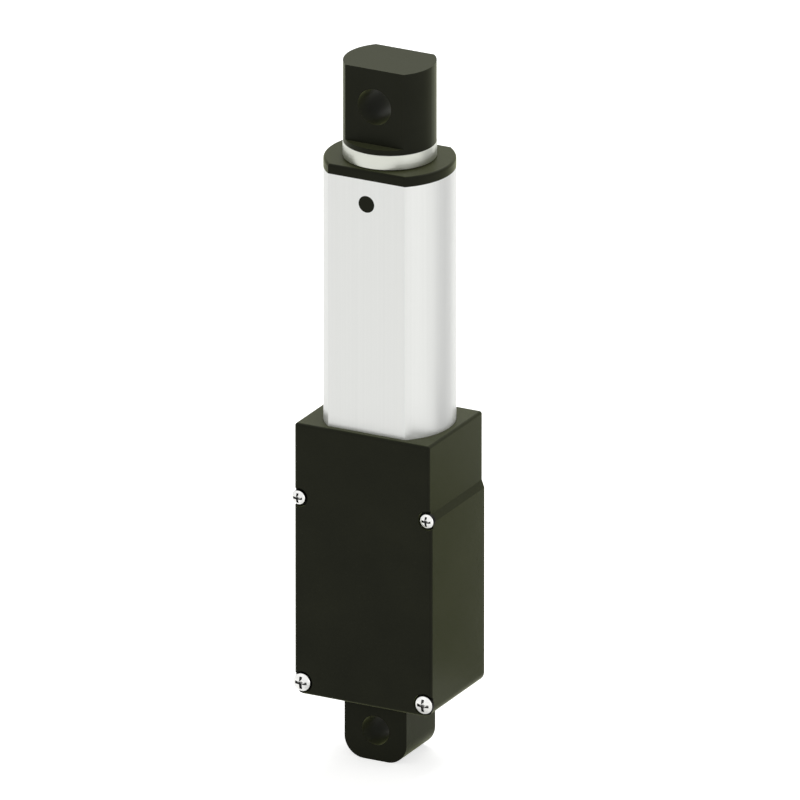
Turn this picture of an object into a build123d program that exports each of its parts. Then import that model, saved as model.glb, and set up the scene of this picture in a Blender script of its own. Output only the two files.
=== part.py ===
from build123d import *
import os
from math import acos, cos, pi, radians, sin, sqrt, tan

# Micro linear actuator, retracted. Millimetres. The origin is the centre of the hole in
# the base lug, +Z runs along the rod towards the rod end, and -Y is the front face.

# Base lug
lug_hole_d = 4.0
lug_width = 9.05
lug_depth = 8.1
lug_below_hole = 4.15
lug_above_hole = 4.7
lug_corner_r = 2.8

# Gear housing, moulded in two halves that meet at the lug's rear face
side_step_in = 0.38
side_step_below_top = 10.5
side_step_tall = 1.05
edge_r = 0.4
side_foot_r = 1.3
side_wall = 1.35
socket_wall = 1.0
front_wall = 1.2
rear_wall = 1.2
bottom_wall = 1.3
shelf_thick = 1.4
slot_clearance = 0.4

# Housing screws: the lower pair is larger than the upper pair
upper_head_d = 1.95
upper_shank_d = 0.85
upper_recess_gap = 0.325
upper_from_side = 0.65
upper_below_top = 10.2
lower_head_d = 2.5
lower_shank_d = 1.3
lower_recess_gap = 0.25
lower_from_side = 1.1
lower_up = 1.65
head_proud = 0.45
recess_deep = 0.5
head_edge_r = 0.25
screw_bite = 2.4
thread_slack = 0.02
screw_slack = 0.04
corner_block = 1.3
cradle_rib = 1.0
cradle_post = 1.2

# Outer tube: round with a flat front and rear, 17.2 across and 13.1 over the flats
tube_wall = 1.1
tube_seated = 4.0
lock_hole_d = 2.2
lock_hole_up = 2.0

# End cap, its snap pegs and the wiper
cap_flange = 1.3
cap_edge_r = 0.35
cap_spigot = 5.5
peg_d = 2.28
peg_below_edge = 3.3
wiper_width = 0.9
wiper_thick = 0.8
wiper_cover = 0.1

# Rod and its parts
rod_d = 9.0
rod_switch_gap = 0.5
rod_flat_gap = 0.95
rod_screw_gap = 0.6
rod_cap_thick = 4.4
collar_over_eye = 0.05
collar_tall = 2.05
collar_gap = 0.1
collar_edge = 0.12
stud_d = 6.0
stud_in_eye = 2.5
eye_d = 12.1
eye_tall = 11.0
eye_flats = 8.65
eye_flange = 0.7
eye_hole_d = 4.87
eye_hole_from_top = 5.12
rod_stroke = 20.0

# Nut and its carrier
carrier_tall = 7.0
carrier_floor = 0.8
carrier_spare_above = 1.8
carrier_spare_below = 1.5
nut_across_flats = 7.6
nut_tall = 2.6
carrier_pin_d = 1.0
carrier_pin_inset = 0.15
carrier_pin_up = 5.4

# Lead screw
screw_d = 5.0
screw_past_nut = 2.5
screw_tip_chamfer = 0.6
journal_d = 4.0
shoulder_d = 5.8
shoulder_tall = 1.1

# Ball bearing and its block
race_d = 8.0
race_inner_d = 5.1
race_outer_bore = 6.6
race_tall = 3.0
ball_count = 7
ball_d = 0.9
block_flange = 1.2
block_roof = 1.2
block_bore_d = 6.5

# Shaft coupling
coupling_d = 6.0
coupling_tall = 3.6
coupling_half = 1.9

# Gear train: four equal stages between the motor shaft and the output shaft
gear_module = 0.18
pinion_teeth = 10
wheel_teeth = 26
pressure_angle = 25.0
addendum = 0.8
dedendum = 1.05
backlash = 0.03
face_width = 1.3
stage_pitch = 1.85
first_stage_up = 0.25

# Gearbox frame
gearbox_width = 12.0
gearbox_depth = 10.0
gearbox_height = 9.0
plate_thick = 0.6
pillar_d = 1.3
pillar_tenon_d = 0.9
plate_corner_r = 0.6
pillar_inset = 1.15
idler_axle_d = 0.8
output_shaft_d = 3.0
output_root_d = 1.6
output_bush_d = 4.4
output_bush_flange_d = 5.2
output_bush_proud = 0.5

# Motor
motor_length = 15.0
can_wall = 0.5
motor_cap_thick = 2.0
motor_shaft_d = 1.0
pinion_shaft_d = 0.8
bush_d = 2.6
bush_tall = 1.4
magnet_thick = 1.0
air_gap = 0.4
magnet_angle = 100.0
magnet_over = 0.5
cap_rim_tall = 1.0
cap_floor = 0.6
armature_d = 8.2
armature_tall = 6.6
armature_up = 5.0
pole_count = 3
pole_neck = 1.5
pole_tip_thick = 0.9
pole_gap = 0.9
hub_d = 3.0
winding_thick = 0.8
winding_over = 0.6
commutator_d = 2.4
commutator_tall = 1.7
brush_thick = 0.3
brush_tall = 1.0
terminal_width = 1.2
terminal_thick = 0.3
terminal_apart = 5.2
terminal_len = 1.6

# Boards, switches and diodes
board_thick = 0.6
board_width = 8.8
board_depth = 7.0
board_below_motor = 1.0
board_above_floor = 1.05
diode_size = (1.8, 1.0, 0.5)
diode_apart = 4.6
diode_forward = 2.0
strip_width = 4.5
strip_above_tube_end = 0.4
strip_below_cap = 0.6
switch_thick = 1.5
switch_width = 3.2
switch_tall = 3.0
plunger_d = 0.8
plunger_tall = 0.6
plunger_offset = 0.2
trip_gap = 0.1

# Cable outlet
grommet_flange_d = 3.8
grommet_neck_d = 2.8
grommet_bore_d = 1.8
grommet_flange_thick = 0.7
grommet_above_floor = 0.2
grommet_motor_gap = 0.5

# Clearances
seat_gap = 0.05
run_gap = 0.03
guide_gap = 0.1
free_gap = 0.15

# How far a cut runs past the face that it opens
cut_over = 1.0

# Heights along the axis, from the lug up through the drive to the rod end
housing_bottom = lug_above_hole
cavity_bottom = housing_bottom + bottom_wall
board_top = cavity_bottom + board_above_floor + board_thick
motor_bottom = board_top + board_below_motor
can_bottom = motor_bottom + motor_cap_thick
gearbox_bottom = motor_bottom + motor_length
gearbox_top = gearbox_bottom + gearbox_height
coupling_bottom = gearbox_top + output_bush_proud + guide_gap
coupling_split = coupling_bottom + coupling_half
coupling_top = coupling_bottom + coupling_tall
shelf_top = coupling_top + seat_gap
shelf_bottom = shelf_top - shelf_thick
tube_bottom = shelf_top + block_flange
housing_top = tube_bottom + tube_seated
race_top = shelf_top + race_tall
block_top = race_top + block_roof
carrier_bottom = block_top + carrier_spare_below
carrier_top = carrier_bottom + carrier_tall
nut_bottom = carrier_bottom + carrier_floor
rod_bottom = nut_bottom + nut_tall
screw_top = rod_bottom + rod_stroke + screw_past_nut
spigot_bottom = carrier_top + rod_stroke + carrier_spare_above
tube_top = spigot_bottom + cap_spigot
cap_top = tube_top + cap_flange
collar_bottom = cap_top + collar_gap
eye_bottom = collar_bottom + collar_tall
eye_top = eye_bottom + eye_tall
eye_hole_z = eye_top - eye_hole_from_top
upper_screw_z = housing_top - upper_below_top
lower_screw_z = housing_bottom + lower_up
peg_z = tube_top - peg_below_edge
lock_z = tube_bottom + lock_hole_up
grommet_z = cavity_bottom + grommet_above_floor + grommet_flange_d / 2

# Places across the axis
switch_inner_x = rod_d / 2 + rod_switch_gap
strip_inner_x = switch_inner_x + switch_thick
strip_outer_x = strip_inner_x + board_thick
tube_bore_d = 2 * sqrt((strip_outer_x + seat_gap) ** 2 + (strip_width / 2) ** 2)
tube_bore_flats = rod_d + 2 * rod_flat_gap
tube_d = tube_bore_d + 2 * tube_wall
tube_flats = tube_bore_flats + 2 * tube_wall
half_width = tube_d / 2 + seat_gap + side_wall
half_depth = tube_flats / 2 + seat_gap + socket_wall
seam_y = lug_depth / 2
cavity_half = half_width - side_wall
cavity_front = -half_depth + front_wall
cavity_rear = half_depth - rear_wall
magnet_inner_d = armature_d + 2 * air_gap
motor_d = magnet_inner_d + 2 * (magnet_thick + can_wall)
motor_flats = magnet_inner_d + 2 * can_wall
grommet_lip = cavity_rear - motor_flats / 2 - grommet_motor_gap
rod_bore_d = screw_d + 2 * rod_screw_gap
wiper_d = rod_d + 2 * wiper_width
collar_d = eye_d + 2 * collar_over_eye
centre_distance = gear_module * (pinion_teeth + wheel_teeth) / 2
stage_bottom = [gearbox_bottom + plate_thick + first_stage_up + i * stage_pitch for i in range(4)]


# Basic shapes, each given by its true limits
def block(x0, x1, y0, y1, z0, z1):
    return Pos((x0 + x1) / 2, (y0 + y1) / 2, (z0 + z1) / 2) * Box(x1 - x0, y1 - y0, z1 - z0)


def disc(d, z0, z1, x=0, y=0):
    return Pos(x, y, (z0 + z1) / 2) * Cylinder(d / 2, z1 - z0)


def ring(outer_d, inner_d, z0, z1, x=0, y=0):
    return disc(outer_d, z0, z1, x, y) - disc(inner_d, z0 - cut_over, z1 + cut_over, x, y)


def double_d(d, flats, z0, z1):
    return disc(d, z0, z1) & block(-d, d, -flats / 2, flats / 2, z0, z1)


def pin_y(d, y0, y1, x, z):
    return Pos(x, (y0 + y1) / 2, z) * Rot(90, 0, 0) * Cylinder(d / 2, y1 - y0)


def pin_x(d, x0, x1, y, z):
    return Pos((x0 + x1) / 2, y, z) * Rot(0, 90, 0) * Cylinder(d / 2, x1 - x0)


# Housing
def housing_outside():
    z0 = housing_bottom
    step_low = housing_top - side_step_below_top
    step_high = step_low + side_step_tall
    front_view = make_face(Polyline(
        (-half_width, z0),
        (half_width, z0),
        (half_width, step_low),
        (half_width - side_step_in, step_high),
        (half_width - side_step_in, housing_top),
        (-half_width, housing_top),
        close=True,
    ))
    front_view = fillet(front_view.vertices().group_by(Axis.Y)[0], side_foot_r)
    body = extrude(Plane.XZ * front_view, amount=half_depth, both=True)
    # The rims and the two top edges are rounded; the step and the feet keep their own curves
    rims = body.faces().filter_by(Axis.Y).edges()
    top_edges = body.edges().filter_by(Axis.Y).group_by(Axis.Z)[-1]
    return fillet(rims + top_edges, edge_r)


def base_lug():
    tab = block(
        -lug_width / 2, lug_width / 2, -lug_depth / 2, lug_depth / 2,
        -lug_below_hole, housing_bottom + bottom_wall / 2,
    )
    corners = tab.edges().filter_by(Axis.Y).group_by(Axis.Z)[0]
    tab = fillet(corners, lug_corner_r)
    return tab - pin_y(lug_hole_d, -lug_depth, lug_depth, 0, 0)


def screw_places():
    upper = [(side * (half_width - upper_from_side), upper_screw_z) for side in (-1, 1)]
    lower = [(side * (half_width - lower_from_side), lower_screw_z) for side in (-1, 1)]
    return upper, lower


def tube_pocket():
    return double_d(tube_d + 2 * seat_gap, tube_flats + 2 * seat_gap, shelf_top, housing_top + cut_over)


def housing_cavity(y0, y1):
    cavity = block(-cavity_half, cavity_half, y0, y1, cavity_bottom, shelf_bottom)
    for side in (-1, 1):
        inner = side * (cavity_half - corner_block)
        outer = side * (cavity_half + cut_over)
        cavity -= block(
            min(inner, outer), max(inner, outer), y0, y1,
            cavity_bottom - cut_over, cavity_bottom + corner_block,
        )
    return cavity


def cradle_ribs():
    # Bottom and top of each rib, and half the width and depth of what it holds
    low = can_bottom + cradle_rib
    high = gearbox_bottom - 3 * cradle_rib
    motor = (motor_d / 2 + seat_gap, motor_flats / 2 + seat_gap)
    gearbox = (gearbox_width / 2 + seat_gap, gearbox_depth / 2 + seat_gap)
    return [
        (low, low + cradle_rib, *motor),
        (high, high + cradle_rib, *motor),
        (gearbox_top - plate_thick, gearbox_top, *gearbox),
    ]


def cradle_post_at(middle, y0, y1, z0, z1):
    return block(middle - cradle_post / 2, middle + cradle_post / 2, y0, y1, z0, z1)


def front_housing():
    front = housing_outside() & block(
        -2 * half_width, 2 * half_width, -2 * half_depth, seam_y, 0, housing_top + cut_over
    )
    front -= housing_cavity(cavity_front, seam_y + cut_over)
    front -= tube_pocket()
    slot_r = coupling_d / 2 + slot_clearance
    low = shelf_bottom - cut_over
    high = shelf_top + cut_over
    front -= disc(2 * slot_r, low, high) + block(-slot_r, slot_r, 0, seam_y + cut_over, low, high)
    for z0, z1, half_x, half_y in cradle_ribs():
        rib = block(-cavity_half, cavity_half, cavity_front, seam_y, z0, z1)
        front += rib - block(-half_x, half_x, -half_y, seam_y + cut_over, z0, z1)
    # Posts that hold the gearmotor down from the shelf and up from the floor
    post_rear = cradle_post - gearbox_depth / 2
    for side in (-1, 1):
        over = side * (gearbox_width - cradle_post) / 2
        front += cradle_post_at(over, cavity_front, post_rear, gearbox_top + seat_gap, shelf_bottom)
        under = side * (motor_d - cradle_post) / 2
        front += cradle_post_at(under, -cradle_post, cradle_post, cavity_bottom, motor_bottom - seat_gap)
    front += base_lug()
    upper, lower = screw_places()
    upper_recess_d = upper_head_d + 2 * upper_recess_gap
    lower_recess_d = lower_head_d + 2 * lower_recess_gap
    sizes = ((upper, upper_shank_d, upper_recess_d), (lower, lower_shank_d, lower_recess_d))
    for places, shank_d, recess_d in sizes:
        for x, z in places:
            front -= pin_y(shank_d + 2 * screw_slack, -half_depth - cut_over, seam_y + cut_over, x, z)
            front -= pin_y(recess_d, -half_depth - cut_over, -half_depth + recess_deep, x, z)
    return front


def rear_cover():
    rear = housing_outside() & block(
        -2 * half_width, 2 * half_width, seam_y, 2 * half_depth, 0, housing_top + cut_over
    )
    rear -= housing_cavity(seam_y - cut_over, cavity_rear)
    rear -= tube_pocket()
    # Pads that press the motor and gearbox into their cradles
    for z0, z1, half_x, half_y in cradle_ribs():
        rear += block(-half_x / 2, half_x / 2, half_y, cavity_rear, z0, z1)
    # Peg that enters the tube's lower hole and locks the tube in its socket
    peg_tip = tube_flats / 2 - tube_wall + seat_gap
    rear += pin_y(lock_hole_d - 2 * seat_gap, peg_tip, tube_flats / 2 + 3 * seat_gap, 0, lock_z)
    upper, lower = screw_places()
    for places, shank_d in ((upper, upper_shank_d), (lower, lower_shank_d)):
        for x, z in places:
            hole_end = seam_y + screw_bite + seat_gap
            rear -= pin_y(shank_d + 2 * thread_slack, seam_y - cut_over, hole_end, x, z)
    outlet_d = grommet_neck_d + 2 * thread_slack
    return rear - pin_y(outlet_d, cavity_rear - cut_over, half_depth + cut_over, 0, grommet_z)


def housing_screw(head_d, shank_d, x, z):
    head_rear = -half_depth + recess_deep
    head = pin_y(head_d, -half_depth - head_proud, head_rear, x, z)
    rim = head.edges().group_by(Axis.Y)[0]
    return fillet(rim, head_edge_r) + pin_y(shank_d, head_rear, seam_y + screw_bite, x, z)


def housing_screws(places, head_d, shank_d):
    return Compound(children=[housing_screw(head_d, shank_d, x, z) for x, z in places])


def cable_grommet():
    body = pin_y(grommet_neck_d, cavity_rear, half_depth, 0, grommet_z)
    outer = pin_y(grommet_flange_d, half_depth, half_depth + grommet_flange_thick, 0, grommet_z)
    body += fillet(outer.edges().group_by(Axis.Y)[-1], grommet_flange_thick / 2)
    body += pin_y(grommet_flange_d, cavity_rear - grommet_lip, cavity_rear, 0, grommet_z)
    return body - pin_y(grommet_bore_d, 0, 2 * half_depth, 0, grommet_z)


# Tube and end cap
def outer_tube():
    tube = double_d(tube_d, tube_flats, tube_bottom, tube_top)
    tube -= double_d(tube_bore_d, tube_bore_flats, tube_bottom - cut_over, tube_top + cut_over)
    tube -= pin_y(peg_d, -tube_d, tube_d, 0, peg_z)
    return tube - pin_y(lock_hole_d, 0, tube_d, 0, lock_z)


def switch_notch(z0, z1):
    gap = seat_gap
    half = switch_width / 2 + gap
    return block(switch_inner_x - gap, strip_inner_x + gap, -half, half, z0, z1)


def strip_notch(z0, z1):
    half = strip_width / 2 + seat_gap
    return block(strip_inner_x - seat_gap, tube_d, -half, half, z0, z1)


def end_cap():
    flange = double_d(tube_d, tube_flats, tube_top, cap_top)
    flange = fillet(flange.faces().sort_by(Axis.Z)[-1].edges(), cap_edge_r)
    cap = flange + double_d(
        tube_bore_d - 2 * seat_gap, tube_bore_flats - 2 * seat_gap, spigot_bottom, tube_top
    )
    for y0, y1 in ((-tube_flats / 2, -rod_d / 2), (rod_d / 2, tube_flats / 2)):
        cap += pin_y(peg_d, y0, y1, 0, peg_z)
    cap -= strip_notch(spigot_bottom - cut_over, strip_top() + seat_gap)
    cap -= switch_notch(spigot_bottom - cut_over, upper_switch_z() + switch_tall + seat_gap)
    cap -= disc(rod_d + 2 * seat_gap, spigot_bottom - cut_over, cap_top + cut_over)
    return cap - disc(wiper_d + 2 * seat_gap, cap_top - wiper_thick - wiper_cover, cap_top + cut_over)


def wiper_seal():
    bottom = cap_top - wiper_thick - wiper_cover
    seal = ring(wiper_d, rod_d + 2 * seat_gap, bottom, bottom + wiper_thick)
    return chamfer(seal.edges().group_by(Axis.Z)[-1].sort_by(SortBy.RADIUS)[0], wiper_thick / 2)


# Rod, its collar and end, and the nut that drives it
def rod():
    shaft = disc(rod_d, rod_bottom, collar_bottom)
    shaft -= disc(rod_bore_d, rod_bottom - cut_over, collar_bottom - rod_cap_thick)
    shaft += disc(stud_d, collar_bottom, eye_bottom + stud_in_eye)
    for x0, x1 in carrier_pin_spans():
        shaft -= pin_x(carrier_pin_d, x0, x1, 0, carrier_bottom + carrier_pin_up)
    return shaft


def rod_collar():
    collar = ring(collar_d, stud_d, collar_bottom, eye_bottom)
    rims = collar.edges().filter_by(GeomType.CIRCLE).filter_by(lambda e: e.radius > stud_d)
    return chamfer(rims, collar_edge)


def rod_end():
    eye = disc(eye_d, eye_bottom, eye_top)
    flat_start = eye_bottom + eye_flange
    for side in (-1, 1):
        inner = side * eye_flats / 2
        outer = side * eye_d
        eye -= block(-eye_d, eye_d, min(inner, outer), max(inner, outer), flat_start, eye_top + cut_over)
    eye -= disc(stud_d, eye_bottom - cut_over, eye_bottom + stud_in_eye + seat_gap)
    return eye - pin_y(eye_hole_d, -eye_d, eye_d, 0, eye_hole_z)


def carrier_pin_spans():
    near = rod_bore_d / 2 + seat_gap
    far = strip_inner_x - free_gap - carrier_pin_inset
    return [(near, far), (-far, -near)]


def nut_carrier():
    body = double_d(
        tube_bore_d - 2 * guide_gap, tube_bore_flats - 2 * guide_gap, carrier_bottom, carrier_top
    )
    low = carrier_bottom - cut_over
    high = carrier_top + cut_over
    body -= block(strip_inner_x - free_gap, tube_d, -tube_d, tube_d, low, high)
    body -= disc(rod_d, rod_bottom, high)
    body -= hexagon(nut_across_flats, nut_bottom, rod_bottom)
    body -= disc(screw_d + 2 * guide_gap, low, nut_bottom + cut_over)
    for x0, x1 in carrier_pin_spans():
        body -= pin_x(carrier_pin_d, x0, x1, 0, carrier_bottom + carrier_pin_up)
    return body


def hexagon(across_flats, z0, z1):
    face = RegularPolygon(across_flats / 2, 6, major_radius=False)
    return Pos(0, 0, z0) * extrude(face, amount=z1 - z0)


def drive_nut():
    return hexagon(nut_across_flats, nut_bottom, rod_bottom) - disc(
        screw_d + 2 * seat_gap, nut_bottom - cut_over, rod_bottom + cut_over
    )


def carrier_pins():
    z = carrier_bottom + carrier_pin_up
    return Compound(children=[pin_x(carrier_pin_d, x0, x1, 0, z) for x0, x1 in carrier_pin_spans()])


# Lead screw, bearing and coupling
def lead_screw():
    screw = disc(journal_d, coupling_split, race_top)
    screw += disc(shoulder_d, race_top, race_top + shoulder_tall)
    thread = disc(screw_d, race_top + shoulder_tall, screw_top)
    return screw + chamfer(thread.edges().group_by(Axis.Z)[-1], screw_tip_chamfer)


def ball_path():
    pitch_r = (race_inner_d + race_outer_bore) / 4
    z = (shelf_top + race_top) / 2
    return Pos(0, 0, z) * Torus(pitch_r, ball_d / 2 + run_gap)


def bearing_inner_race():
    return ring(race_inner_d, journal_d, shelf_top, race_top) - ball_path()


def bearing_outer_race():
    return ring(race_d, race_outer_bore, shelf_top, race_top) - ball_path()


def bearing_balls():
    pitch_r = (race_inner_d + race_outer_bore) / 4
    z = (shelf_top + race_top) / 2
    return Compound(children=[
        Rot(0, 0, 360 * i / ball_count) * Pos(pitch_r, 0, z) * Sphere(ball_d / 2)
        for i in range(ball_count)
    ])


def bearing_block():
    body = double_d(tube_d, tube_flats, shelf_top, tube_bottom)
    body += double_d(
        tube_bore_d - 2 * seat_gap, tube_bore_flats - 2 * seat_gap, tube_bottom, block_top
    )
    body -= disc(race_d, shelf_top - cut_over, race_top)
    body -= disc(block_bore_d, shelf_top, block_top + cut_over)
    body -= strip_notch(strip_bottom() - seat_gap, block_top + cut_over)
    return body - switch_notch(lower_switch_z() - seat_gap, block_top + cut_over)


def shaft_coupling():
    hub = disc(coupling_d, coupling_bottom, coupling_top)
    hub -= disc(output_shaft_d, coupling_bottom - cut_over, coupling_split)
    hub -= disc(journal_d, coupling_split - cut_over, coupling_top + cut_over)
    outer = hub.edges().filter_by(GeomType.CIRCLE).filter_by(lambda e: e.radius > shoulder_d / 2)
    return chamfer(outer, 2 * guide_gap)


# Gears
def involute(angle):
    return tan(angle) - angle


def gear_outline(teeth, tooth_at):
    pitch_r = gear_module * teeth / 2
    base_r = pitch_r * cos(radians(pressure_angle))
    root_r = pitch_r - dedendum * gear_module
    tip_r = pitch_r + addendum * gear_module
    half_at_pitch = pi / (2 * teeth) - backlash / (2 * pitch_r)
    radii = [root_r, pitch_r, tip_r]
    if base_r > root_r:
        radii.insert(1, base_r)
    # Half a tooth's angle at each radius, from the involute of the base circle
    flank = []
    for r in radii:
        slope = acos(base_r / max(r, base_r))
        flank.append((r, half_at_pitch + involute(radians(pressure_angle)) - involute(slope)))
    points = []
    for i in range(teeth):
        middle = radians(tooth_at) + 2 * pi * i / teeth
        points += [(r * cos(middle - half), r * sin(middle - half)) for r, half in flank]
        points += [(r * cos(middle + half), r * sin(middle + half)) for r, half in reversed(flank)]
    return points


def gear(teeth, tooth_at, x, z0, z1):
    outline = make_face(Polyline(*gear_outline(teeth, tooth_at), close=True))
    return Pos(x, 0, z0) * extrude(outline, amount=z1 - z0)


def stage_wheel(stage, x, partner_at):
    # A tooth gap of the wheel faces the pinion that drives it
    z0 = stage_bottom[stage]
    return gear(wheel_teeth, partner_at + 180 / wheel_teeth, x, z0, z0 + face_width)


def stage_pinion(stage, x, partner_at, z0):
    return gear(pinion_teeth, partner_at, x, z0, stage_bottom[stage] + face_width)


def compound_gear(stage, x, driver_at, driven_at):
    top = stage_bottom[stage] + face_width
    wheel = stage_wheel(stage, x, driver_at) + stage_pinion(stage + 1, x, driven_at, top)
    return wheel - disc(idler_axle_d + 2 * run_gap, gearbox_bottom, gearbox_top, x)


def motor_pinion():
    pinion = stage_pinion(0, 0, 0, stage_bottom[0])
    return pinion - disc(pinion_shaft_d, gearbox_bottom, gearbox_top)


def output_gear():
    wheel = stage_wheel(3, 0, 180)
    return wheel - disc(output_root_d, gearbox_bottom, gearbox_top)


def output_shaft():
    gear_top = stage_bottom[3] + face_width
    shaft = disc(idler_axle_d, stage_bottom[1] - free_gap, stage_bottom[3])
    shaft += disc(output_root_d, stage_bottom[3], gear_top)
    return shaft + disc(output_shaft_d, gear_top, coupling_split)


# Gearbox frame
def pillar_places():
    x = gearbox_width / 2 - pillar_inset
    y = gearbox_depth / 2 - pillar_inset
    return [(sx * x, sy * y) for sx in (-1, 1) for sy in (-1, 1)]


def gearbox_plate(z0):
    half = gearbox_width / 2
    plate = block(-half, half, -gearbox_depth / 2, gearbox_depth / 2, z0, z0 + plate_thick)
    for x, y in pillar_places():
        plate -= disc(pillar_tenon_d, z0 - cut_over, z0 + cut_over, x, y)
    for side in (-1, 1):
        plate -= disc(idler_axle_d, z0 - cut_over, z0 + cut_over, side * centre_distance)
    uprights = plate.edges().filter_by(Axis.Z)
    corners = uprights.filter_by(lambda e: abs(e.center().X) > half - seat_gap)
    return fillet(corners, plate_corner_r)


def gearbox_base_plate():
    z0 = gearbox_bottom
    return gearbox_plate(z0) - disc(bush_d, z0 - cut_over, z0 + cut_over)


def gearbox_top_plate():
    z0 = gearbox_top - plate_thick
    return gearbox_plate(z0) - disc(output_bush_d, z0 - cut_over, gearbox_top + cut_over)


def gearbox_pillars():
    low = gearbox_bottom + plate_thick
    high = gearbox_top - plate_thick
    pillars = []
    for x, y in pillar_places():
        post = disc(pillar_d, low, high, x, y)
        pillars.append(post + disc(pillar_tenon_d, gearbox_bottom, gearbox_top, x, y))
    return Compound(children=pillars)


def gear_axles():
    return Compound(children=[
        disc(idler_axle_d, gearbox_bottom, gearbox_top, side * centre_distance) for side in (-1, 1)
    ])


def output_bush():
    low = gearbox_top - plate_thick
    bush = disc(output_bush_d, low, gearbox_top)
    bush += disc(output_bush_flange_d, gearbox_top, gearbox_top + output_bush_proud)
    return bush - disc(output_shaft_d + 2 * run_gap, low - cut_over, gearbox_top + cut_over)


# Motor
def motor_can():
    can = double_d(motor_d, motor_flats, can_bottom, gearbox_bottom)
    can -= double_d(
        motor_d - 2 * can_wall, motor_flats - 2 * can_wall,
        can_bottom - cut_over, gearbox_bottom - can_wall,
    )
    return can - disc(bush_d, can_bottom, gearbox_bottom + cut_over)


def motor_end_cap():
    cap = double_d(motor_d, motor_flats, motor_bottom, can_bottom)
    cap += ring(
        motor_flats - 2 * can_wall - 2 * seat_gap, motor_flats - 4 * can_wall,
        can_bottom, can_bottom + cap_rim_tall,
    )
    cap -= disc(bush_d, motor_bottom + cap_floor, can_bottom + cut_over)
    for side in (-1, 1):
        x = side * terminal_apart / 2
        cap -= block(
            x - terminal_thick / 2, x + terminal_thick / 2,
            -terminal_width / 2, terminal_width / 2, motor_bottom - cut_over, can_bottom + 2 * cut_over,
        )
    return cap


def motor_terminals():
    tabs = []
    for side in (-1, 1):
        x = side * terminal_apart / 2
        tabs.append(block(
            x - terminal_thick / 2, x + terminal_thick / 2, -terminal_width / 2, terminal_width / 2,
            motor_bottom - terminal_len, brush_bottom() + brush_tall,
        ))
    return Compound(children=tabs)


def motor_bushes():
    low = ring(bush_d, motor_shaft_d + 2 * run_gap, can_bottom - bush_tall, can_bottom)
    top = gearbox_bottom + plate_thick
    high = ring(bush_d, motor_shaft_d + 2 * run_gap, top - bush_tall, top)
    return Compound(children=[low, high])


def motor_magnets():
    outer = motor_d - 2 * can_wall
    z0 = motor_bottom + armature_up - magnet_over
    z1 = z0 + armature_tall + 2 * magnet_over
    tube = ring(outer, magnet_inner_d, z0, z1)
    reach = motor_d
    half = radians(magnet_angle / 2)
    arcs = []
    for side in (-1, 1):
        wedge = make_face(Polyline(
            (0, 0),
            (side * reach * cos(half), -reach * sin(half)),
            (side * reach * cos(half), reach * sin(half)),
            close=True,
        ))
        wedge = Pos(0, 0, z0) * extrude(wedge, amount=z1 - z0)
        room = double_d(outer, motor_flats - 2 * can_wall, z0, z1)
        arcs.append((tube & wedge) & room)
    return Compound(children=arcs)


def pole_angles():
    return [90 + 360 * i / pole_count for i in range(pole_count)]


def armature_core():
    z0 = motor_bottom + armature_up
    z1 = z0 + armature_tall
    rim = ring(armature_d, armature_d - 2 * pole_tip_thick, z0, z1)
    core = disc(hub_d, z0, z1)
    for angle in pole_angles():
        neck = block(0, armature_d / 2 - pole_tip_thick / 2, -pole_neck / 2, pole_neck / 2, z0, z1)
        core += Rot(0, 0, angle) * neck
        gap = block(0, armature_d, -pole_gap / 2, pole_gap / 2, z0 - cut_over, z1 + cut_over)
        rim -= Rot(0, 0, angle + 180 / pole_count) * gap
    return (core + rim) - disc(motor_shaft_d, z0 - cut_over, z1 + cut_over)


def armature_windings():
    z0 = motor_bottom + armature_up
    z1 = z0 + armature_tall
    near = hub_d / 2 + seat_gap
    half = pole_neck / 2 + winding_thick
    rim_r = armature_d / 2 - pole_tip_thick - seat_gap
    far = sqrt(rim_r**2 - half**2)
    coils = []
    for angle in pole_angles():
        coil = block(near, far, -half, half, z0 - winding_over, z1 + winding_over)
        coil -= block(0, armature_d, -pole_neck / 2, pole_neck / 2, z0, z1)
        coils.append(Rot(0, 0, angle) * coil)
    return Compound(children=coils)


def commutator():
    top = motor_bottom + armature_up - winding_over - seat_gap
    return ring(commutator_d, motor_shaft_d, top - commutator_tall, top)


def brush_bottom():
    return motor_bottom + armature_up - winding_over - commutator_tall


def motor_brushes():
    z0 = brush_bottom()
    brushes = []
    for side in (-1, 1):
        near = side * (commutator_d / 2 + run_gap)
        far = side * (terminal_apart - terminal_thick) / 2
        arm = block(
            min(near, far), max(near, far), -brush_thick / 2, brush_thick / 2, z0, z0 + brush_tall
        )
        brushes.append(arm)
    return Compound(children=brushes)


def motor_shaft():
    top = stage_bottom[0] + face_width
    shaft = disc(motor_shaft_d, motor_bottom + cap_floor + free_gap, gearbox_bottom + plate_thick)
    return shaft + disc(pinion_shaft_d, gearbox_bottom + plate_thick, top)


# Boards and switches
def terminal_board():
    board = block(
        -board_width / 2, board_width / 2, -board_depth / 2, board_depth / 2,
        board_top - board_thick, board_top,
    )
    gap = seat_gap
    for side in (-1, 1):
        x = side * terminal_apart / 2
        board -= block(
            x - terminal_thick / 2 - gap, x + terminal_thick / 2 + gap,
            -terminal_width / 2 - gap, terminal_width / 2 + gap,
            board_top - cut_over, board_top + cut_over,
        )
    return board


def diodes():
    long, wide, tall = diode_size
    front = -diode_forward - wide / 2
    z1 = board_top - board_thick
    return Compound(children=[
        block(x - long / 2, x + long / 2, front, front + wide, z1 - tall, z1)
        for x in (-diode_apart / 2, diode_apart / 2)
    ])


def strip_bottom():
    return tube_bottom + strip_above_tube_end


def strip_top():
    return tube_top - strip_below_cap


def switch_strip():
    return block(
        strip_inner_x, strip_outer_x, -strip_width / 2, strip_width / 2, strip_bottom(), strip_top()
    )


def lower_switch_z():
    return carrier_bottom - trip_gap - plunger_tall - switch_tall


def upper_switch_z():
    return carrier_top + rod_stroke + trip_gap + plunger_tall


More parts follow.
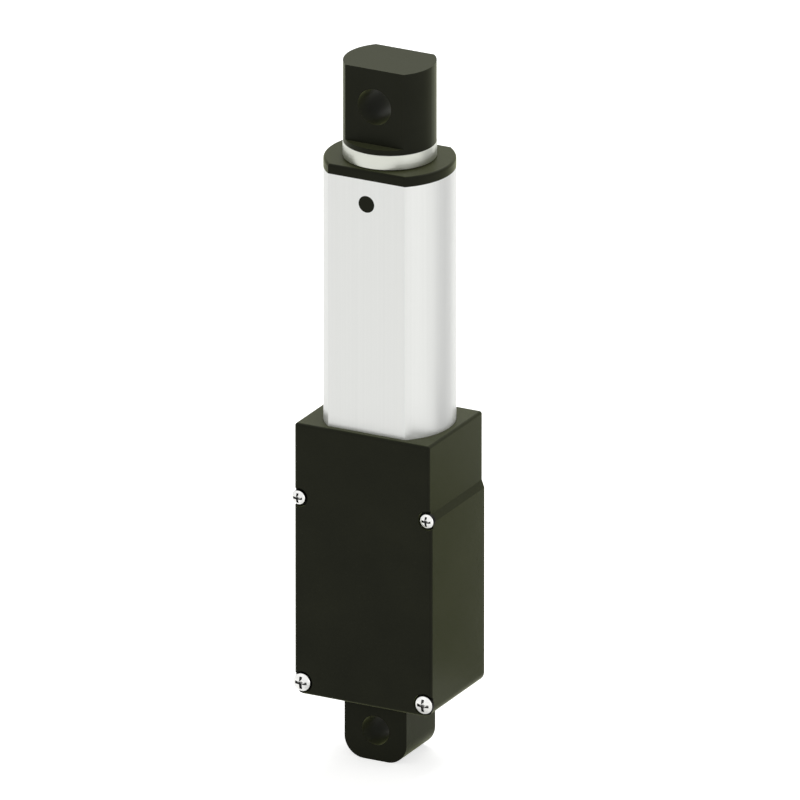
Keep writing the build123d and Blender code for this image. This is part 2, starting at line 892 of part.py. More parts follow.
def limit_switch(z0, plunger_z0):
    body = block(
        switch_inner_x, strip_inner_x, -switch_width / 2, switch_width / 2, z0, z0 + switch_tall
    )
    x = (switch_inner_x + strip_inner_x) / 2 - plunger_offset
    return body + disc(plunger_d, plunger_z0, plunger_z0 + plunger_tall, x)


def lower_switch():
    z0 = lower_switch_z()
    return limit_switch(z0, z0 + switch_tall)


def upper_switch():
    z0 = upper_switch_z()
    return limit_switch(z0, z0 - plunger_tall)


def all_parts():
    upper, lower = screw_places()
    return {
        "front_housing": front_housing(),
        "rear_cover": rear_cover(),
        "upper_screws": housing_screws(upper, upper_head_d, upper_shank_d),
        "lower_screws": housing_screws(lower, lower_head_d, lower_shank_d),
        "cable_grommet": cable_grommet(),
        "outer_tube": outer_tube(),
        "end_cap": end_cap(),
        "wiper_seal": wiper_seal(),
        "bearing_block": bearing_block(),
        "bearing_outer_race": bearing_outer_race(),
        "bearing_balls": bearing_balls(),
        "motor_can": motor_can(),
        "motor_end_cap": motor_end_cap(),
        "motor_terminals": motor_terminals(),
        "motor_magnets": motor_magnets(),
        "motor_brushes": motor_brushes(),
        "motor_bushes": motor_bushes(),
        "gearbox_base_plate": gearbox_base_plate(),
        "gearbox_top_plate": gearbox_top_plate(),
        "gearbox_pillars": gearbox_pillars(),
        "gear_axles": gear_axles(),
        "output_bush": output_bush(),
        "terminal_board": terminal_board(),
        "diodes": diodes(),
        "switch_strip": switch_strip(),
        "lower_limit_switch": lower_switch(),
        "upper_limit_switch": upper_switch(),
        "rod": rod(),
        "rod_collar": rod_collar(),
        "rod_end": rod_end(),
        "nut_carrier": nut_carrier(),
        "drive_nut": drive_nut(),
        "carrier_pins": carrier_pins(),
        "lead_screw": lead_screw(),
        "bearing_inner_race": bearing_inner_race(),
        "shaft_coupling": shaft_coupling(),
        "output_shaft": output_shaft(),
        "output_gear": output_gear(),
        "first_gear": compound_gear(0, centre_distance, 180, 180),
        "second_gear": compound_gear(1, 0, 0, 180),
        "third_gear": compound_gear(2, -centre_distance, 0, 0),
        "motor_shaft": motor_shaft(),
        "motor_pinion": motor_pinion(),
        "armature_core": armature_core(),
        "armature_windings": armature_windings(),
        "commutator": commutator(),
    }


os.makedirs("parts", exist_ok=True)
for node, shape in all_parts().items():
    export_step(shape, f"parts/{node}.step")
    print(node)
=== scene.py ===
import math

import bmesh
import bpy
from mathutils import Matrix, Vector


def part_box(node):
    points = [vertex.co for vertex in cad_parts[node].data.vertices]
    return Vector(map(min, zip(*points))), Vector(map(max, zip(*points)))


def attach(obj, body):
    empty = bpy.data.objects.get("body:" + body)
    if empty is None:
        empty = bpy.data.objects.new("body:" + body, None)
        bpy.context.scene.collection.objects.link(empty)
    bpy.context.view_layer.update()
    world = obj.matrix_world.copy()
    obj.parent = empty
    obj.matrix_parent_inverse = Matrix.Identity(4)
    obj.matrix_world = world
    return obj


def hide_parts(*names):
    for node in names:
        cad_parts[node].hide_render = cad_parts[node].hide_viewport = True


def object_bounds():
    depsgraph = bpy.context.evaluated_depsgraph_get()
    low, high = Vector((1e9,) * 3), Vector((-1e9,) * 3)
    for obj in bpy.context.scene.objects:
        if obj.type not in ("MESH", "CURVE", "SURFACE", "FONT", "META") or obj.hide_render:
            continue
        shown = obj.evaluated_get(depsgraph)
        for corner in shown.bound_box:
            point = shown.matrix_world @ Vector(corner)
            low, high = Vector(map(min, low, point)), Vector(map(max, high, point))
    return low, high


# Micro linear actuator: black gear housing with a lug, clear anodised tube, black cap and rod end.
# Sizes below are in millimetres and are turned to metres by mm.
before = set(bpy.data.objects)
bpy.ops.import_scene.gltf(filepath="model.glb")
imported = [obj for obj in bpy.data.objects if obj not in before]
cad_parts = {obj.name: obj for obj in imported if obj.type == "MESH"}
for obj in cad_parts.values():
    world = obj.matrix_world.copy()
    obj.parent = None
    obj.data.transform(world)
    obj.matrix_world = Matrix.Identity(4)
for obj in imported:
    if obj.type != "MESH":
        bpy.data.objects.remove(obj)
cadLow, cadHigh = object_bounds()
mm = 0.001
white = (1, 1, 1, 1)
sharpAngle = math.radians(32)  # edges that turn more than this stay sharp
weld = {"seam": 1e-7, "cut": 1e-6, "sliver": 5e-7}  # vertices this close are one, in metres
print("frame loaded")


# Small helpers
def hexColour(text):
    channels = [int(text[i:i + 2], 16) / 255 for i in (1, 3, 5)]
    linear = [c / 12.92 if c <= 0.04045 else ((c + 0.055) / 1.055) ** 2.4 for c in channels]
    return (*linear, 1.0)


def addNode(tree, kind, inputs, **settings):
    node = tree.nodes.new(kind)
    for name, value in settings.items():
        setattr(node, name, value)
    for name, value in inputs.items():
        if isinstance(value, bpy.types.NodeSocket):
            tree.links.new(value, node.inputs[name])
        else:
            node.inputs[name].default_value = value
    return node


def newMaterial(name):
    material = bpy.data.materials.new(name)
    material.use_nodes = True
    tree = material.node_tree
    tree.nodes.clear()
    place = addNode(tree, "ShaderNodeTexCoord", {}).outputs["Object"]
    return material, tree, place


def surfaceOf(tree, **sockets):
    inputs = {name.replace("_", " "): value for name, value in sockets.items()}
    shader = addNode(tree, "ShaderNodeBsdfPrincipled", inputs)
    addNode(tree, "ShaderNodeOutputMaterial", {"Surface": shader.outputs[0]})


def perMetre(sizeMm):
    return 1 / (sizeMm * mm)  # a texture scale that gives features of this size


# Finishes that show: each has its tone, its grain and the wander of its gloss
noise = {"cloudDetail": 3.0, "grainDetail": 2.0, "darkFrom": 0.3, "lightFrom": 0.7}


def grainedFinish(name, look):
    material, tree, place = newMaterial(name)
    cloud = addNode(tree, "ShaderNodeTexNoise", {
        "Vector": place, "Scale": perMetre(look["cloudMm"]), "Detail": noise["cloudDetail"],
    })
    grain = addNode(tree, "ShaderNodeTexNoise", {
        "Vector": place, "Scale": perMetre(look["grainMm"]), "Detail": noise["grainDetail"],
    })
    tone = addNode(tree, "ShaderNodeValToRGB", {"Fac": cloud.outputs["Fac"]})
    dark, light = tone.color_ramp.elements
    dark.position = noise["darkFrom"]
    dark.color = hexColour(look["dark"])
    light.position = noise["lightFrom"]
    light.color = hexColour(look["light"])
    gloss = addNode(tree, "ShaderNodeMapRange", {
        "Value": cloud.outputs["Fac"],
        "To Min": look["roughness"] - look["roughnessSpread"],
        "To Max": look["roughness"] + look["roughnessSpread"],
    })
    bump = addNode(tree, "ShaderNodeBump", {
        "Height": grain.outputs["Fac"], "Strength": look["bump"], "Distance": look["grainMm"] * mm,
    })
    surfaceOf(
        tree, Base_Color=tone.outputs["Color"], Roughness=gloss.outputs["Result"],
        Normal=bump.outputs["Normal"], **look.get("shader", {}),
    )
    return material


# Glass-filled nylon, moulded in a spark-eroded tool: near black with an olive cast, matt, with
# a haze where the eye grazes it. The real grain is about 0.05 mm, drawn at 0.16 mm so it shows.
mouldedNylon = grainedFinish("moulded nylon, black", {
    "dark": "#1F201A", "light": "#25261E", "cloudMm": 9.0, "grainMm": 0.16, "bump": 0.10,
    "roughness": 0.34, "roughnessSpread": 0.04,
    "shader": {"IOR": 1.5, "Specular_IOR_Level": 0.035, "Sheen_Weight": 0.68, "Sheen_Roughness": 0.4,
               "Sheen_Tint": hexColour("#BCC488")},
})

# Aluminium rod end, turned, milled and black anodised: dark like the nylon, with less haze.
blackAnodised = grainedFinish("black anodised aluminium", {
    "dark": "#21221B", "light": "#25261F", "cloudMm": 6.0, "grainMm": 0.10, "bump": 0.06,
    "roughness": 0.36, "roughnessSpread": 0.03,
    "shader": {"IOR": 1.5, "Specular_IOR_Level": 0.035, "Sheen_Weight": 0.46, "Sheen_Roughness": 0.4,
               "Sheen_Tint": hexColour("#BCC488")},
})

# Nitrile rubber, moulded: dull and soft-looking.
nitrileRubber = grainedFinish("nitrile rubber", {
    "dark": "#151514", "light": "#1D1D1B", "cloudMm": 2.0, "grainMm": 0.12, "bump": 0.12,
    "roughness": 0.72, "roughnessSpread": 0.05,
    "shader": {"IOR": 1.52, "Specular_IOR_Level": 0.35},
})


# Aluminium tube, drawn, etched and clear anodised: a pale satin metal, whose etched skin gives
# back part of the light as a matt surface does. The die leaves faint lines along the tube,
# about 0.05 mm apart, drawn 0.3 mm apart so they show up close.
def anodisedTube():
    look = {
        "tones": ("#EBECEA", "#F1F2F0"), "lineMm": 0.3, "lineLengthMm": 60.0, "lineDetail": 3.0,
        "bump": 0.03, "cloudMm": 14.0, "cloudDetail": 2.0, "roughness": (0.36, 0.42),
        "metallic": 0.55,
    }
    material, tree, place = newMaterial("clear anodised aluminium")
    along = addNode(tree, "ShaderNodeMapping", {
        "Vector": place,
        "Scale": (perMetre(look["lineMm"]), perMetre(look["lineMm"]), perMetre(look["lineLengthMm"])),
    })
    lines = addNode(tree, "ShaderNodeTexNoise", {
        "Vector": along.outputs["Vector"], "Scale": 1.0, "Detail": look["lineDetail"],
    })
    cloud = addNode(tree, "ShaderNodeTexNoise", {
        "Vector": place, "Scale": perMetre(look["cloudMm"]), "Detail": look["cloudDetail"],
    })
    tone = addNode(tree, "ShaderNodeMix", {
        "Factor": lines.outputs["Fac"], "A": hexColour(look["tones"][0]),
        "B": hexColour(look["tones"][1]),
    }, data_type="RGBA")
    gloss = addNode(tree, "ShaderNodeMapRange", {
        "Value": cloud.outputs["Fac"], "To Min": look["roughness"][0],
        "To Max": look["roughness"][1],
    })
    bump = addNode(tree, "ShaderNodeBump", {
        "Height": lines.outputs["Fac"], "Strength": look["bump"], "Distance": look["lineMm"] * mm,
    })
    surfaceOf(
        tree, Base_Color=tone.outputs["Result"], Metallic=look["metallic"],
        Roughness=gloss.outputs["Result"], Normal=bump.outputs["Normal"],
    )
    return material


# Steel turned on a lathe: the tool leaves fine rings round the axis, one about every 0.06 mm,
# drawn wider apart so they show.
def turnedSteel(name, baseHex, roughness, ringMm, bumpStrength):
    spread = 0.05
    material, tree, place = newMaterial(name)
    rings = addNode(tree, "ShaderNodeMapping", {
        "Vector": place, "Scale": (1.0, 1.0, perMetre(ringMm)),
    })
    feed = addNode(tree, "ShaderNodeTexNoise", {
        "Vector": rings.outputs["Vector"], "Scale": 1.0, "Detail": noise["grainDetail"],
    })
    gloss = addNode(tree, "ShaderNodeMapRange", {
        "Value": feed.outputs["Fac"], "To Min": roughness - spread, "To Max": roughness + spread,
    })
    bump = addNode(tree, "ShaderNodeBump", {
        "Height": feed.outputs["Fac"], "Strength": bumpStrength, "Distance": ringMm * mm,
    })
    surfaceOf(
        tree, Base_Color=hexColour(baseHex), Metallic=1.0, Roughness=gloss.outputs["Result"],
        Normal=bump.outputs["Normal"],
    )
    return material


tubeFinish = anodisedTube()
collarFinish = turnedSteel(
    "turned stainless steel", "#D8DAD1", roughness=0.34, ringMm=0.20, bumpStrength=0.05,
)
rodFinish = turnedSteel(  # polished for the seal
    "ground stainless steel", "#D6D6D4", roughness=0.20, ringMm=0.10, bumpStrength=0.02,
)
threadFinish = turnedSteel(
    "rolled steel thread", "#B4B2AC", roughness=0.30, ringMm=0.15, bumpStrength=0.04,
)

# Steel screw, zinc plated: bright and a little cloudy.
zincPlate = grainedFinish("zinc plated steel", {
    "dark": "#EAEAE8", "light": "#F8F8F6", "cloudMm": 0.8, "grainMm": 0.08, "bump": 0.05,
    "roughness": 0.26, "roughnessSpread": 0.05, "shader": {"Metallic": 1.0},
})

# Steel painted dark as shade, on the walls of a screw's cross recess and the side of its head, where
# the recess shades it
shadePaintedSteel = grainedFinish("steel painted dark as shade", {
    "dark": "#2A2A28", "light": "#353532", "cloudMm": 0.5, "grainMm": 0.06, "bump": 0.05,
    "roughness": 0.55, "roughnessSpread": 0.05, "shader": {"Metallic": 1.0},
})

# Finishes of the pieces inside, seen when it is taken apart
innerGrain = {"cloudMm": 1.5, "grainMm": 0.06, "bump": 0.05, "roughnessSpread": 0.04}
innerLooks = {
    # nickel-free bearing steel, lapped: grey and smooth
    "lapped bearing steel": {"dark": "#A9A9A6", "light": "#B9B9B6", "roughness": 0.2, "metallic": 1.0},
    # acetal, machined from rod: milky off-white
    "natural acetal": {"dark": "#E4E2D8", "light": "#ECEAE2", "roughness": 0.45, "metallic": 0.0},
    # acetal with lubricant, moulded: warm white
    "filled acetal": {"dark": "#D5D2C4", "light": "#DEDBCE", "roughness": 0.4, "metallic": 0.0},
    # deep-drawn steel sheet, nickel plated: slightly yellow grey
    "nickel plated steel": {"dark": "#B8B4A8", "light": "#C6C2B6", "roughness": 0.28, "metallic": 1.0},
    # polyamide, moulded: milk white
    "motor polyamide": {"dark": "#DCDAD2", "light": "#E6E4DC", "roughness": 0.5, "metallic": 0.0},
    # brass, blanked and hobbed: warm yellow with a dull skin
    "hobbed brass": {"dark": "#B8954A", "light": "#C9A65A", "roughness": 0.3, "metallic": 1.0},
    # ferrite, pressed and sintered: charcoal and rough
    "sintered ferrite": {"dark": "#3A3A3C", "light": "#454547", "roughness": 0.7, "metallic": 0.0},
    # gear steel, cut and tumbled: mid grey
    "tumbled gear steel": {"dark": "#9C9A96", "light": "#ADABA6", "roughness": 0.32, "metallic": 1.0},
    # glass-epoxy board under a green solder mask
    "green solder mask": {"dark": "#1E5A35", "light": "#27683F", "roughness": 0.35, "metallic": 0.0},
    # liquid crystal polymer, moulded: black, slightly glossy
    "switch polymer": {"dark": "#202022", "light": "#29292B", "roughness": 0.4, "metallic": 0.0},
}


def innerFinish(name):
    look = innerLooks[name]
    return grainedFinish(name, {
        "dark": look["dark"], "light": look["light"], "roughness": look["roughness"],
        "shader": {"Metallic": look["metallic"]}, **innerGrain,
    })


# Enamelled copper wire, wound in layers: the turns lie side by side, 0.12 mm apart, and are drawn
# about 0.75 mm apart so they show.
def woundCopper():
    look = {
        "wireMm": 0.12, "dark": "#7C3F1E", "light": "#C9743C", "bump": 0.5, "metallic": 0.9,
        "roughness": 0.3,
    }
    waveFactor = 20  # the wave texture multiplies its scale by this
    material, tree, place = newMaterial("enamelled copper wire")
    turns = addNode(tree, "ShaderNodeTexWave", {
        "Vector": place, "Scale": perMetre(look["wireMm"]) / waveFactor, "Distortion": 0.4,
        "Detail": 1.0, "Detail Scale": 0.5,
    }, bands_direction="Z")
    # each turn runs from dark in its groove to bright copper on its crest: painted shade and painted
    # highlight over the enamel's own copper tone
    tone = addNode(tree, "ShaderNodeMix", {
        "Factor": turns.outputs["Fac"], "A": hexColour(look["dark"]),
        "B": hexColour(look["light"]),
    }, data_type="RGBA")
    bump = addNode(tree, "ShaderNodeBump", {
        "Height": turns.outputs["Fac"], "Strength": look["bump"],
        "Distance": look["wireMm"] * mm / 2,
    })
    surfaceOf(
        tree, Base_Color=tone.outputs["Result"], Metallic=look["metallic"],
        Roughness=look["roughness"], Normal=bump.outputs["Normal"],
    )
    return material


nodesByFinish = {
    mouldedNylon: ["front_housing", "rear_cover", "end_cap"],
    blackAnodised: ["rod_end"],
    nitrileRubber: ["cable_grommet", "wiper_seal"],
    tubeFinish: ["outer_tube"],
    collarFinish: ["rod_collar"],
    rodFinish: ["rod"],
    innerFinish("lapped bearing steel"): [
        "bearing_outer_race", "bearing_inner_race", "bearing_balls",
    ],
    innerFinish("natural acetal"): ["bearing_block"],
    innerFinish("filled acetal"): ["nut_carrier"],
    innerFinish("nickel plated steel"): ["motor_can"],
    innerFinish("motor polyamide"): ["motor_end_cap"],
    innerFinish("hobbed brass"): [
        "motor_terminals", "motor_bushes", "gearbox_base_plate", "gearbox_top_plate",
        "gearbox_pillars", "output_bush", "drive_nut", "shaft_coupling", "first_gear",
        "second_gear", "third_gear", "motor_pinion",
    ],
    woundCopper(): ["motor_brushes", "armature_windings", "commutator"],
    innerFinish("sintered ferrite"): ["motor_magnets", "armature_core"],
    innerFinish("tumbled gear steel"): [
        "gear_axles", "carrier_pins", "output_shaft", "output_gear", "motor_shaft",
    ],
    innerFinish("green solder mask"): ["terminal_board", "switch_strip"],
    innerFinish("switch polymer"): ["diodes", "lower_limit_switch", "upper_limit_switch"],
}
for finish, names in nodesByFinish.items():
    for name in names:
        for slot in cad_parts[name].material_slots:
            slot.material = finish
print("finishes on the frame")


# Shapes made here
def smoothed(mesh):
    mesh.shade_smooth()
    mesh.set_sharp_from_angle(angle=sharpAngle)


def meshObject(name, shape, *finishes):
    bmesh.ops.remove_doubles(shape, verts=shape.verts, dist=weld["seam"])
    bmesh.ops.recalc_face_normals(shape, faces=shape.faces)
    mesh = bpy.data.meshes.new(name)
    shape.to_mesh(mesh)
    shape.free()
    smoothed(mesh)
    piece = bpy.data.objects.new(name, mesh)
    bpy.context.scene.collection.objects.link(piece)
    for finish in finishes:
        mesh.materials.append(finish)
    return piece


def spinProfile(shape, points, steps):
    verts = [shape.verts.new((radius, 0, height)) for radius, height in points]
    edges = [shape.edges.new(pair) for pair in zip(verts, verts[1:])]
    bmesh.ops.spin(
        shape, geom=verts + edges, cent=(0, 0, 0), axis=(0, 0, 1), angle=2 * math.pi,
        steps=steps, use_merge=True,
    )
    bmesh.ops.remove_doubles(shape, verts=shape.verts, dist=weld["seam"])


# One profile of many teeth, swept once round while it climbs one pitch, then cut square
tooth = {"rootEnd": 0.30, "crestStart": 0.55, "crestEnd": 0.75}  # shares of the pitch


def threadedShank(rootR, crestR, pitch, low, high, steps):
    shape = bmesh.new()
    below = 2
    above = 1
    teeth = math.ceil((high - low) / pitch) + below + above
    points = []
    for i in range(teeth):
        base = low - below * pitch + i * pitch
        points += [
            (rootR, base), (rootR, base + tooth["rootEnd"] * pitch),
            (crestR, base + tooth["crestStart"] * pitch), (crestR, base + tooth["crestEnd"] * pitch),
        ]
    verts = [shape.verts.new((radius, 0, height)) for radius, height in points]
    edges = [shape.edges.new(pair) for pair in zip(verts, verts[1:])]
    bmesh.ops.spin(
        shape, geom=verts + edges, cent=(0, 0, 0), axis=(0, 0, 1), angle=2 * math.pi,
        steps=steps, dvec=(0, 0, pitch / steps),
    )
    bmesh.ops.remove_doubles(shape, verts=shape.verts, dist=pitch * 1e-3)
    for height, normal in ((low, (0, 0, -1)), (high, (0, 0, 1))):
        cut = bmesh.ops.bisect_plane(
            shape, geom=shape.verts[:] + shape.edges[:] + shape.faces[:], dist=1e-9,
            plane_co=(0, 0, height), plane_no=normal, clear_outer=True,
        )
        rim = [item for item in cut["geom_cut"] if isinstance(item, bmesh.types.BMEdge)]
        bmesh.ops.edgeloop_fill(shape, edges=rim)
    return shape


def applyBoolean(piece, other, operation):
    cut = piece.modifiers.new(operation.lower(), "BOOLEAN")
    cut.operation = operation
    cut.solver = "EXACT"
    cut.object = other
    graph = bpy.context.evaluated_depsgraph_get()
    result = bpy.data.meshes.new_from_object(piece.evaluated_get(graph))
    piece.modifiers.clear()
    shape = bmesh.new()
    shape.from_mesh(result)
    bpy.data.meshes.remove(result)
    # the cut leaves slivers under a micron, which are closed up here
    bmesh.ops.remove_doubles(shape, verts=shape.verts, dist=weld["cut"])
    bmesh.ops.dissolve_degenerate(shape, edges=shape.edges, dist=weld["sliver"])
    shape.to_mesh(piece.data)
    shape.free()
    smoothed(piece.data)
    bpy.data.objects.remove(other)


# Housing screws: pan heads with a cross recess, on a thread that bites in the rear cover
screwHeads = {
    "upper": {"head": 1.95, "shank": 0.85, "pitch": 0.45},
    "lower": {"head": 2.5, "shank": 1.3, "pitch": 0.6},
}
screwLook = {
    "headTall": 0.95, "domeTall": 0.3, "domePower": 2.4, "domeSteps": 10,
    "rimShare": 0.86, "rimTall": 1.6, "rimSteps": 5, "steps": 48,
    "recessSpan": 0.72, "recessWidth": 0.17, "recessDeep": 0.5, "recessTaper": 0.9,
    # steeper than these the faces take the steel painted dark as shade, on the head and in its recess
    "sideSlope": 0.45, "wallSlope": 0.7,
    # sunk: how far the shank reaches into the head
    "rootShare": 0.78, "sunk": 0.1, "threadSteps": 24,
}


def crossCutter(head):
    span = head * screwLook["recessSpan"]
    width = head * screwLook["recessWidth"]
    deep = screwLook["recessDeep"]
    wings = []
    for turn in (0, 90):
        wing = bmesh.new()
        bmesh.ops.create_cube(wing, size=1)
        bmesh.ops.scale(wing, vec=(span * mm, width * mm, 2 * deep * mm), verts=wing.verts)
        floor = [v for v in wing.verts if v.co.z < 0]
        taper = screwLook["recessTaper"]
        bmesh.ops.scale(wing, vec=(taper, taper, 1), verts=floor)
        for face in wing.faces:
            # the walls of the recess take the steel painted dark as shade, its floor stays bright
            face.material_index = 1 if abs(face.normal.z) < screwLook["wallSlope"] else 0
        bmesh.ops.rotate(wing, cent=(0, 0, 0), matrix=Matrix.Rotation(math.radians(turn), 3, "Z"),
                         verts=wing.verts)
        wings.append(meshObject(f"cutter_{turn}", wing, zincPlate, shadePaintedSteel))
    applyBoolean(wings[0], wings[1], "UNION")
    return wings[0]


def housingScrew(name, node, size, centre, shankEnd):
    head = size["head"] / 2 * mm
    shank = size["shank"] / 2 * mm
    tall = screwLook["headTall"] * mm
    dome = screwLook["domeTall"] * mm
    # Dome from the middle of the head to its rim, then the rim, the side and the flat under it
    points = []
    for i in range(screwLook["domeSteps"] + 1):
        share = i / screwLook["domeSteps"]
        fall = dome * share ** screwLook["domePower"]
        points.append((head * screwLook["rimShare"] * share, -fall))
    edge = head * (1 - screwLook["rimShare"])
    for i in range(1, screwLook["rimSteps"] + 1):
        angle = math.pi / 2 * i / screwLook["rimSteps"]
        points.append((
            head * screwLook["rimShare"] + edge * math.sin(angle),
            -dome - screwLook["rimTall"] * edge * (1 - math.cos(angle)),
        ))
    points += [(head, -tall), (0, -tall)]
    shape = bmesh.new()
    spinProfile(shape, points, screwLook["steps"])
    bmesh.ops.recalc_face_normals(shape, faces=shape.faces)
    for face in shape.faces:
        # the steep side of the head takes the steel painted dark as the shade of its recess
        steep = abs(face.normal.z) < screwLook["sideSlope"]
        face.material_index = 1 if steep else 0
    piece = meshObject(name, shape, zincPlate, shadePaintedSteel)
    cutter = crossCutter(size["head"])
    applyBoolean(piece, cutter, "DIFFERENCE")
    length = shankEnd - centre.y
    thread = threadedShank(
        screwLook["rootShare"] * shank, shank, size["pitch"] * mm, -length,
        screwLook["sunk"] * mm - tall, screwLook["threadSteps"],
    )
    applyBoolean(piece, meshObject("shank", thread, zincPlate, shadePaintedSteel), "UNION")
    piece.data.transform(Matrix.Translation(centre) @ Matrix.Rotation(math.pi / 2, 4, "X"))
    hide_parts(node)
    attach(piece, "body")


for level in ("upper", "lower"):
    node = f"{level}_screws"
    size = screwHeads[level]
    low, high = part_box(node)
    height = (low.z + high.z) / 2
    reach = size["head"] / 2 * mm
    for side, x in (("left", low.x + reach), ("right", high.x - reach)):
        place = Vector((x, low.y, height))
        housingScrew(f"{level}_screw_{side}", node, size, place, high.y)
print("housing screws made")


# Lead screw: a rolled trapezoid thread of 2 mm pitch between its shoulder and its tip
leadScrew = {
    "root": 3.9, "crest": 5.0, "pitch": 2.0, "journal": 4.0, "shoulder": 5.8, "shoulderTall": 1.1,
    "tip": 0.6, "tipShare": 0.96, "tipTaper": 0.8,
    # sunk: how far the thread and the nose reach into each other and the shoulder
    "sunk": 0.12, "steps": 64, "shoulderSteps": 72,
}


def makeLeadScrew():
    low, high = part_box("lead_screw")
    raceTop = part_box("bearing_outer_race")[1].z
    shoulderTop = raceTop + leadScrew["shoulderTall"] * mm
    journal = leadScrew["journal"] / 2 * mm
    shoulder = leadScrew["shoulder"] / 2 * mm
    base = bmesh.new()
    spinProfile(base, [
        (0, low.z), (journal, low.z), (journal, raceTop), (shoulder, raceTop),
        (shoulder, shoulderTop), (0, shoulderTop),
    ], leadScrew["shoulderSteps"])
    tipStart = high.z - leadScrew["tip"] * mm
    sunk = leadScrew["sunk"] * mm
    thread = threadedShank(
        leadScrew["root"] / 2 * mm, leadScrew["crest"] / 2 * mm, leadScrew["pitch"] * mm,
        shoulderTop - sunk, tipStart, leadScrew["steps"],
    )
    nose = bmesh.new()
    tip = leadScrew["tipShare"] * leadScrew["root"] / 2 * mm
    spinProfile(nose, [
        (0, tipStart - sunk), (tip, tipStart - sunk), (tip, tipStart),
        (tip * leadScrew["tipTaper"], high.z), (0, high.z),
    ], leadScrew["steps"])
    piece = meshObject("lead_screw_threaded", base, threadFinish)
    applyBoolean(piece, meshObject("thread", thread, threadFinish), "UNION")
    applyBoolean(piece, meshObject("nose", nose, threadFinish), "UNION")
    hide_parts("lead_screw")
    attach(piece, "screw")


makeLeadScrew()
print("lead screw made")


# Camera, fitted to the photograph: the pixel where the lug hole's centre falls, and the scale
shot = {
    "azimuth": 27.44, "elevation": 20.84, "pixelsPerMm": 7.713, "originPixel": (389.9, 720.3),
    "frame": 800, "lens": 1600, "sensor": 36,
    "clip": (0.1, 20),  # shares of the distance to the part
}


def makeCamera():
    azimuth = math.radians(shot["azimuth"])
    elevation = math.radians(shot["elevation"])
    right = Vector((math.cos(azimuth), math.sin(azimuth), 0))
    back = Vector((
        math.sin(azimuth) * math.cos(elevation),
        -math.cos(azimuth) * math.cos(elevation),
        math.sin(elevation),
    ))
    up = back.cross(right)
    middle = shot["frame"] / 2
    pixel = mm / shot["pixelsPerMm"]
    target = right * (middle - shot["originPixel"][0]) * pixel
    target += up * (shot["originPixel"][1] - middle) * pixel
    distance = shot["lens"] / shot["sensor"] * shot["frame"] * pixel
    camera = bpy.data.cameras.new("camera")
    camera.lens = shot["lens"]
    camera.sensor_width = shot["sensor"]
    camera.clip_start = distance * shot["clip"][0]
    camera.clip_end = distance * shot["clip"][1]
    holder = bpy.data.objects.new("camera", camera)
    holder.matrix_world = Matrix.Translation(target + back * distance) @ Matrix((
        (right.x, up.x, back.x, 0), (right.y, up.y, back.y, 0), (right.z, up.z, back.z, 0),
        (0, 0, 0, 1),
    ))
    bpy.context.scene.collection.objects.link(holder)
    bpy.context.scene.camera = holder


# Studio: a pale floor, an even white room and large soft lamps
studio = {
    "floorRadius": 6.0, "floorSegments": 96, "floorPaint": "#EAEAE8",
    "floorGlow": {"seen": 0.65, "reflected": 0.3},  # lifts the lit floor to white
    "backdrop": 1.0,
    "roomLight": 0.55,
    "lamps": {
        # name: (place, size, watts), in metres
        "top": ((-0.15, 0.58, 0.96), 0.9, 7.0),
        "right": ((1.0, -0.36, 0.15), 0.5, 1.2),
        "front": ((-0.5, -1.1, 0.6), 0.9, 0.3),
    },
    # a card behind the right side, seen only in reflections, black below and pale above: where
    # it stands and where it fades, in metres, and how bright it is
    "card": {"x": (0.0155, 0.05), "y": 0.018, "z": (0.0, 0.10), "fade": (0.026, 0.036),
             "foot": 0.0, "upper": 0.62},
}


def makeCard():
    card = studio["card"]
    shape = bmesh.new()
    bmesh.ops.create_grid(shape, x_segments=1, y_segments=1, size=0.5)
    (left, right), (bottom, top) = card["x"], card["z"]
    bmesh.ops.transform(
        shape, verts=shape.verts,
        matrix=Matrix.Translation(((left + right) / 2, card["y"], (bottom + top) / 2))
        @ Matrix.Rotation(math.pi / 2, 4, "X") @ Matrix.Diagonal((right - left, top - bottom, 1, 1)),
    )
    greyCard, tree, place = newMaterial("grey card")
    height = addNode(tree, "ShaderNodeSeparateXYZ", {"Vector": place})
    glow = addNode(tree, "ShaderNodeMapRange", {
        "Value": height.outputs["Z"], "From Min": card["fade"][0], "From Max": card["fade"][1],
        "To Min": card["foot"], "To Max": card["upper"],
    })
    shader = addNode(tree, "ShaderNodeEmission", {"Strength": glow.outputs["Result"]})
    addNode(tree, "ShaderNodeOutputMaterial", {"Surface": shader.outputs[0]})
    piece = meshObject("card", shape, greyCard)
    piece.visible_camera = False
    piece.visible_diffuse = False
    piece.visible_shadow = False
    piece.visible_transmission = False


# One for a ray that the camera sends, straight or by way of a mirror or glass, and else nought
def seenRays(tree, rays):
    seen = addNode(tree, "ShaderNodeMath", {
        0: rays.outputs["Is Camera Ray"], 1: rays.outputs["Is Glossy Ray"],
    }, operation="MAXIMUM")
    seen = addNode(tree, "ShaderNodeMath", {
        0: seen.outputs[0], 1: rays.outputs["Is Transmission Ray"],
    }, operation="MAXIMUM")
    return seen.outputs[0]


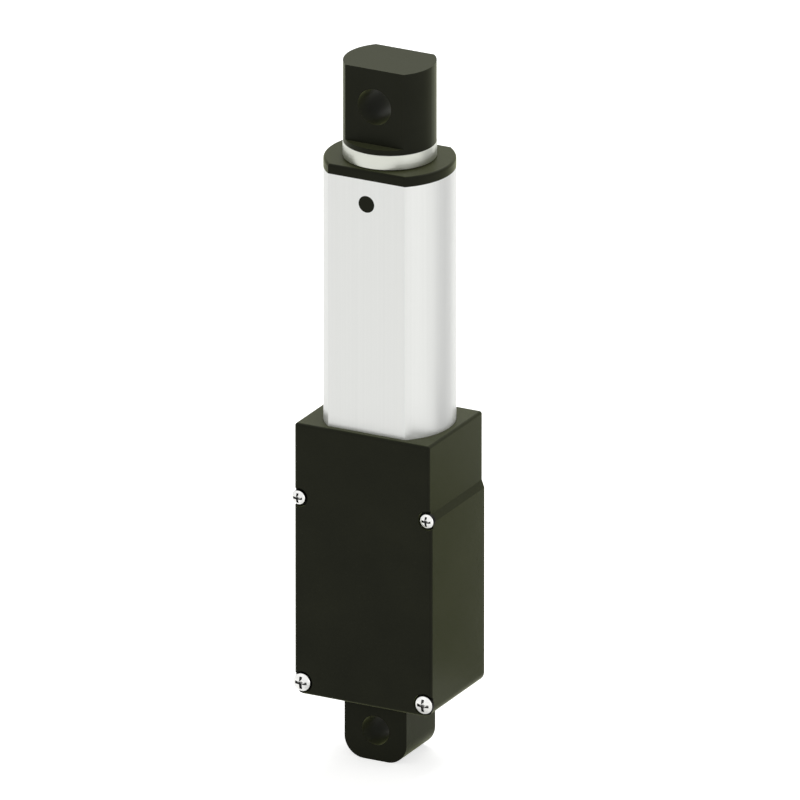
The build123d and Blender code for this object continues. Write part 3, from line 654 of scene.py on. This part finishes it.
def makeFloor():
    shape = bmesh.new()
    bmesh.ops.create_circle(
        shape, cap_ends=True, radius=studio["floorRadius"], segments=studio["floorSegments"],
    )
    bmesh.ops.translate(shape, vec=(0, 0, cadLow.z), verts=shape.verts)
    floorMaterial = bpy.data.materials.new("pale floor")
    floorMaterial.use_nodes = True
    tree = floorMaterial.node_tree
    tree.nodes.clear()
    rays = addNode(tree, "ShaderNodeLightPath", {})
    paint = addNode(tree, "ShaderNodeBsdfDiffuse", {"Color": hexColour(studio["floorPaint"])})
    strength = addNode(tree, "ShaderNodeMapRange", {
        "Value": rays.outputs["Is Camera Ray"], "To Min": studio["floorGlow"]["reflected"],
        "To Max": studio["floorGlow"]["seen"],
    })
    glow = addNode(tree, "ShaderNodeEmission", {
        "Color": white, "Strength": strength.outputs["Result"],
    })
    lit = addNode(tree, "ShaderNodeAddShader", {0: paint.outputs[0], 1: glow.outputs[0]})
    shader = addNode(tree, "ShaderNodeMixShader", {
        0: seenRays(tree, rays), 1: paint.outputs[0], 2: lit.outputs[0],
    })
    addNode(tree, "ShaderNodeOutputMaterial", {"Surface": shader.outputs[0]})
    floor = meshObject("floor", shape, floorMaterial)


def makeRoom():
    world = bpy.data.worlds.new("white room")
    bpy.context.scene.world = world
    world.use_nodes = True
    tree = world.node_tree
    tree.nodes.clear()
    rays = addNode(tree, "ShaderNodeLightPath", {})
    backdrop = addNode(tree, "ShaderNodeBackground", {
        "Color": white, "Strength": studio["backdrop"],
    })
    room = addNode(tree, "ShaderNodeBackground", {
        "Color": white, "Strength": studio["roomLight"],
    })
    shader = addNode(tree, "ShaderNodeMixShader", {
        0: seenRays(tree, rays), 1: room.outputs[0], 2: backdrop.outputs[0],
    })
    addNode(tree, "ShaderNodeOutputWorld", {"Surface": shader.outputs[0]})


def makeLamps():
    aim = (cadLow + cadHigh) / 2
    for name, (place, size, watts) in studio["lamps"].items():
        lamp = bpy.data.lights.new(name, "AREA")
        lamp.shape = "DISK"
        lamp.size = size
        lamp.energy = watts
        holder = bpy.data.objects.new(name, lamp)
        holder.location = place
        holder.rotation_mode = "QUATERNION"
        holder.rotation_quaternion = (Vector(place) - aim).to_track_quat("Z", "Y")
        bpy.context.scene.collection.objects.link(holder)


makeCamera()
makeFloor()
makeRoom()
makeLamps()
makeCard()
bpy.context.scene.view_settings.view_transform = "Standard"
print("camera and studio set")
